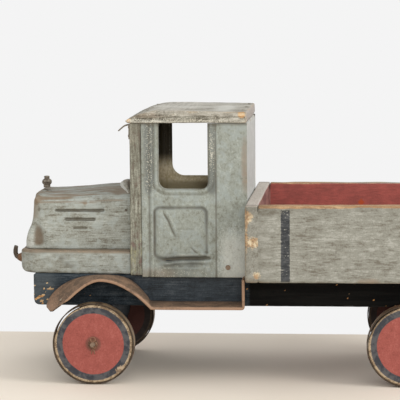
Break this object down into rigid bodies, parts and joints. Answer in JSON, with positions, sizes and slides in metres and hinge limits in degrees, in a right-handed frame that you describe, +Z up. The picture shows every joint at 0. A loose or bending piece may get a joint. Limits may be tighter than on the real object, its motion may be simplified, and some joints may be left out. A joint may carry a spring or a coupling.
{
  "type": "push along toy truck",
  "caption": "Old wooden push along toy truck with a carved bonnet, tin cab sides, mudguards and an open cargo box on four free wheels.",
  "frame": {"origin": "on the ground under the middle of the truck: centre of the bounding box in plan, underside of the wheels", "axes": "+X to the front of the truck, +Y to its left side, +Z up"},
  "size_m": [0.63, 0.283, 0.339],
  "materials": {
    "chassis_paint": "worn dark blue paint on wood",
    "nail_steel": "dull rusted nail heads",
    "axle_steel": "dull rod",
    "wheel_paint": "faded red paint with a dark ring",
    "hoop_iron": "rusted iron hoop",
    "rusty_steel": "rusted steel",
    "bonnet_paint": "worn grey green paint on carved wood",
    "cowl_tin": "worn painted tin",
    "cab_wood": "worn grey green paint on wood",
    "cab_tin": "worn grey green paint on pressed tin",
    "roof_wood": "weathered paint on carved wood",
    "guard_rust": "rusted tin",
    "apron_paint": "worn dark blue paint on tin",
    "box_paint": "worn grey green paint on boards",
    "box_red": "faded red paint"
  },
  "bodies": {
    "root": {"chassis_rail_left": "chassis_paint", "chassis_rail_right": "chassis_paint", "front_cross_member": "chassis_paint", "middle_cross_member": "chassis_paint", "rear_cross_member": "chassis_paint", "chassis_nails": "nail_steel", "front_axle_block": "chassis_paint", "rear_axle_block": "chassis_paint", "axle_block_screws": "nail_steel", "front_axle": "axle_steel", "rear_axle": "axle_steel", "inner_washers": "axle_steel", "outer_washer_front_left": "rusty_steel", "outer_washer_front_right": "rusty_steel", "outer_washer_rear_left": "rusty_steel", "outer_washer_rear_right": "rusty_steel", "split_pin_front_left": "rusty_steel", "split_pin_front_right": "rusty_steel", "split_pin_rear_left": "rusty_steel", "split_pin_rear_right": "rusty_steel", "bonnet_base": "bonnet_paint", "bonnet": "bonnet_paint", "cowl_band": "cowl_tin", "radiator_cap": "rusty_steel", "tow_hook": "rusty_steel", "bonnet_nails": "nail_steel", "cab_front_board": "cab_wood", "cab_back_board": "cab_wood", "cab_floor": "chassis_paint", "cab_side_left": "cab_tin", "cab_side_right": "cab_tin", "cab_roof": "roof_wood", "cab_screws": "nail_steel", "roof_nails": "nail_steel", "windscreen_strip": "rusty_steel", "strip_tacks": "rusty_steel", "bent_nail": "rusty_steel", "mudguard_left": "guard_rust", "mudguard_right": "guard_rust", "apron_left": "apron_paint", "apron_right": "apron_paint", "mudguard_nails": "nail_steel", "box_front_board": "box_paint", "box_rear_board": "box_paint", "box_side_left": "box_paint", "box_side_right": "box_paint", "box_floor": "box_red", "box_nails": "nail_steel"},
    "wheel_front_left": {"wheel_disc_front_left": "wheel_paint", "wheel_hoop_front_left": "hoop_iron"},
    "wheel_front_right": {"wheel_disc_front_right": "wheel_paint", "wheel_hoop_front_right": "hoop_iron"},
    "wheel_rear_left": {"wheel_disc_rear_left": "wheel_paint", "wheel_hoop_rear_left": "hoop_iron"},
    "wheel_rear_right": {"wheel_disc_rear_right": "wheel_paint", "wheel_hoop_rear_right": "hoop_iron"}
  },
  "joints": [
    {"name": "front_left_wheel_spin", "type": "hinge", "parent": "root", "child": "wheel_front_left", "pos_m": [0.1955, 0.1102, 0.051], "axis": [0, 1, 0], "continuous": true},
    {"name": "front_right_wheel_spin", "type": "hinge", "parent": "root", "child": "wheel_front_right", "pos_m": [0.1955, -0.1102, 0.051], "axis": [0, 1, 0], "continuous": true},
    {"name": "rear_left_wheel_spin", "type": "hinge", "parent": "root", "child": "wheel_rear_left", "pos_m": [-0.1935, 0.1102, 0.051], "axis": [0, 1, 0], "continuous": true},
    {"name": "rear_right_wheel_spin", "type": "hinge", "parent": "root", "child": "wheel_rear_right", "pos_m": [-0.1935, -0.1102, 0.051], "axis": [0, 1, 0], "continuous": true}
  ]
}
